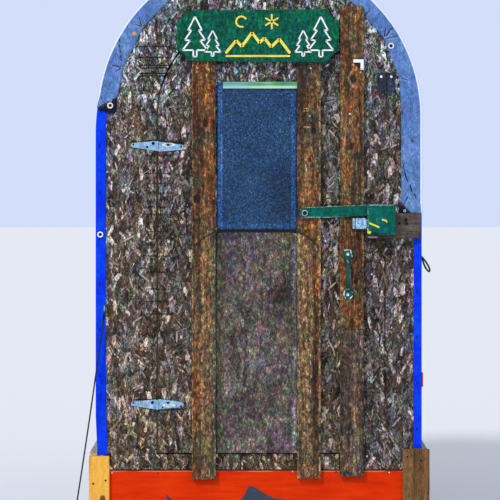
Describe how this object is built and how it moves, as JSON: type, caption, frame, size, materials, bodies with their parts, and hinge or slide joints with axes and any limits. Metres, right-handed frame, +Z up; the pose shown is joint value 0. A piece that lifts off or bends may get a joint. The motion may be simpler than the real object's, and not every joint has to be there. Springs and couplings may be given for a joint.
{
  "type": "ice fishing hut",
  "caption": "Small arched ice fishing hut with a strand board front, round-headed door, hooded swing lock, tarp roof and sides, on a boarded base with a floor slot.",
  "frame": {"origin": "middle of the front sill's bottom face, on the ice", "axes": "+X to the right seen from the front, +Y into the hut, +Z up"},
  "size_m": [1.4056, 1.928, 2.3524],
  "materials": {
    "strand_board": "dark weathered strand board",
    "door_board": "dark weathered strand board",
    "batten_wood": "brown stained boards",
    "weathered_wood": "grey weathered board",
    "new_pine": "fresh pine",
    "brown_board": "brown board",
    "orange_skirt": "orange painted board",
    "framing": "sawn framing timber",
    "floor_ply": "plywood deck",
    "blue_tarp": "woven plastic tarp",
    "grey_tarp": "woven plastic tarp",
    "window_sheet": "dark woven sheet",
    "pale_strip": "pale painted strip",
    "door_panel": "mottled thin panel",
    "green_board": "green painted board",
    "green_metal": "green paint",
    "galvanised": "galvanised",
    "bare_steel": "worn plated steel",
    "padlock_metal": "satin",
    "white_metal": "white paint",
    "black_rubber": "matt",
    "black_line": "braided line",
    "black_wire": "coated wire",
    "red_reflector": "red tab"
  },
  "bodies": {
    "root": {"base_sills": "framing", "left_side_plank": "weathered_wood", "right_side_plank": "weathered_wood", "front_left_corner_board": "new_pine", "front_right_corner_board": "brown_board", "back_corner_boards": "brown_board", "front_skirt": "orange_skirt", "back_skirt": "orange_skirt", "floor_joists": "framing", "floor_deck": "floor_ply", "front_rib": "framing", "middle_rib": "framing", "back_rib": "framing", "roof_purlins": "framing", "side_girts": "framing", "door_studs": "framing", "front_wall_left": "strand_board", "front_wall_right": "strand_board", "front_wall_sill": "strand_board", "front_wall_top": "strand_board", "back_wall": "strand_board", "left_tarp": "blue_tarp", "right_tarp": "blue_tarp", "roof_tarp": "grey_tarp", "hinge_wall_leaves": "galvanised", "keeper_block": "weathered_wood", "keeper_staple": "bare_steel", "rubber_flap": "black_rubber", "guy_eye": "bare_steel", "guy_peg": "bare_steel", "guy_line": "black_line", "wire_loop": "black_wire", "reflector": "red_reflector"},
    "door": {"door_leaf": "door_board", "left_batten": "batten_wood", "middle_batten": "batten_wood", "right_batten": "batten_wood", "window_sheet": "window_sheet", "window_top_strip": "pale_strip", "lower_door_panel": "door_panel", "sign_board": "green_board", "door_handle": "green_metal", "hinge_door_leaves": "galvanised", "corner_bracket": "white_metal", "lock_pivot_bolt": "green_metal"},
    "swing_lock": {"lock_bar": "green_metal", "lock_hood": "green_metal", "padlock_body": "padlock_metal", "padlock_shackle": "bare_steel"}
  },
  "joints": [
    {"name": "door_hinge", "type": "hinge", "parent": "root", "child": "door", "pos_m": [-0.385, -0.0513, 1.1415], "axis": [0, 0, -1], "range_deg": [0, 135]},
    {"name": "lock_bar_pivot", "type": "hinge", "parent": "door", "child": "swing_lock", "pos_m": [0.169, -0.0715, 1.377], "axis": [0, -1, 0], "range_deg": [0, 270]}
  ]
}
